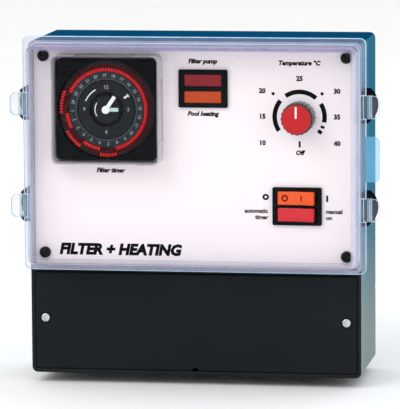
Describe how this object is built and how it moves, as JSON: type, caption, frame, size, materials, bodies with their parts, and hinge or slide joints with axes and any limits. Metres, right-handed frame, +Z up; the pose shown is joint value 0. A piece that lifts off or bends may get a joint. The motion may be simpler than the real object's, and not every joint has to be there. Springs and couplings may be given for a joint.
{
  "type": "pool heating and filter control unit",
  "caption": "Wall-mounted control box with a clear hinged lid over a day timer, indicator lamps, rocker switches and a temperature knob, and a screwed terminal cover.",
  "frame": {"origin": "centre of the housing's back face, on the wall plane", "axes": "+Z up the wall, +X to the right seen from the front, and the front faces -Y"},
  "size_m": [0.2373, 0.1, 0.223],
  "materials": {
    "housing_abs": "moulded ABS, fine texture",
    "panel_white": "printed laminate",
    "black_screw": "blackened steel",
    "cover_abs": "moulded ABS, satin",
    "zinc_screw": "zinc plated",
    "silicone_seal": "silicone",
    "black_rubber": "moulded rubber",
    "clear_polycarbonate": "clear polycarbonate",
    "black_nylon": "moulded nylon",
    "steel_pin": "drawn steel",
    "timer_black": "moulded, fine texture",
    "clear_styrene": "clear polystyrene",
    "clock_face": "printed, satin",
    "natural_acetal": "moulded acetal",
    "zinc_steel": "zinc plated",
    "red_phenolic": "moulded phenolic",
    "brass": "stamped",
    "dial_black": "moulded, satin",
    "tappet_red": "moulded",
    "hand_white": "moulded",
    "rocker_orange": "translucent moulding",
    "rocker_red": "translucent moulding",
    "lens_red": "translucent moulding",
    "lens_orange": "translucent moulding",
    "lamp_glass": "clear glass",
    "knob_grey": "moulded nylon",
    "knob_red": "moulded",
    "board_green": "solder mask",
    "relay_case": "moulded",
    "coil_tape": "polyester tape",
    "core_steel": "laminated steel",
    "capacitor_can": "sleeved aluminium",
    "terminal_green": "moulded",
    "strip_nylon": "moulded nylon"
  },
  "bodies": {
    "housing": {"housing_base": "housing_abs", "front_panel": "panel_white", "panel_screws": "black_screw", "terminal_cover": "cover_abs", "terminal_cover_screws": "zinc_screw", "lid_gasket": "silicone_seal", "cable_grommets": "black_rubber", "hinge_brackets": "black_nylon", "catch_brackets": "black_nylon", "hinge_pins": "steel_pin", "catch_pins": "steel_pin", "timer_case": "timer_black", "timer_back_cover": "timer_black", "timer_clamp_frame": "black_nylon", "timer_dust_cover": "clear_styrene", "timer_clock_face": "clock_face", "timer_movement": "natural_acetal", "timer_motor": "zinc_steel", "timer_switch": "red_phenolic", "timer_terminals": "brass", "rocker_frame": "black_nylon", "rocker_terminals": "brass", "indicator_frame": "black_nylon", "filter_lens": "lens_red", "heating_lens": "lens_orange", "indicator_lamps": "lamp_glass", "indicator_terminals": "brass", "potentiometer": "zinc_steel", "potentiometer_nut": "zinc_steel", "circuit_board": "board_green", "board_screws": "zinc_screw", "filter_relay": "relay_case", "heating_relay": "relay_case", "transformer_coil": "coil_tape", "transformer_core": "core_steel", "capacitor": "capacitor_can", "board_terminals": "terminal_green", "fuse_holder": "zinc_steel", "fuse": "lamp_glass", "terminal_strip": "strip_nylon", "terminal_strip_screws": "zinc_screw", "earth_bar": "brass", "earth_bar_screws": "zinc_screw"},
    "lid": {"clear_lid": "clear_polycarbonate"},
    "temperature_knob": {"knob_body": "knob_grey", "knob_cap": "knob_red", "knob_pointer": "hand_white", "potentiometer_shaft": "steel_pin"},
    "filter_switch": {"filter_rocker": "rocker_orange"},
    "mode_switch": {"mode_rocker": "rocker_red"},
    "timer_dial": {"timer_dial_ring": "dial_black", "timer_tappets": "tappet_red"},
    "hour_hand": {"timer_hour_hand": "hand_white"},
    "minute_hand": {"timer_minute_hand": "hand_white", "timer_minute_arbor": "steel_pin"}
  },
  "joints": [
    {"name": "lid_hinge", "type": "hinge", "parent": "housing", "child": "lid", "pos_m": [-0.1106, -0.0755, 0], "axis": [0, 0, -1], "range_deg": [0, 145]},
    {"name": "temperature_knob_turn", "type": "hinge", "parent": "housing", "child": "temperature_knob", "pos_m": [0.0673, -0.085, 0.0596], "axis": [0, 1, 0], "range_deg": [-180, 135]},
    {"name": "filter_switch_tilt", "type": "hinge", "parent": "housing", "child": "filter_switch", "pos_m": [0.0657, -0.077, 0.0081], "axis": [0, 0, 1], "range_deg": [0, 16]},
    {"name": "mode_switch_tilt", "type": "hinge", "parent": "housing", "child": "mode_switch", "pos_m": [0.0657, -0.077, -0.0025], "axis": [0, 0, 1], "range_deg": [0, 16]},
    {"name": "timer_dial_turn", "type": "hinge", "parent": "housing", "child": "timer_dial", "pos_m": [-0.0548, -0.086, 0.0641], "axis": [0, 1, 0], "continuous": true},
    {"name": "hour_hand_turn", "type": "hinge", "parent": "housing", "child": "hour_hand", "pos_m": [-0.0548, -0.089, 0.0641], "axis": [0, 1, 0], "continuous": true},
    {"name": "minute_hand_turn", "type": "hinge", "parent": "housing", "child": "minute_hand", "pos_m": [-0.0548, -0.09, 0.0641], "axis": [0, 1, 0], "continuous": true}
  ],
  "couplings": [
    {"joint": "hour_hand_turn", "follows": "timer_dial_turn", "ratio": 2},
    {"joint": "minute_hand_turn", "follows": "timer_dial_turn", "ratio": 24}
  ]
}
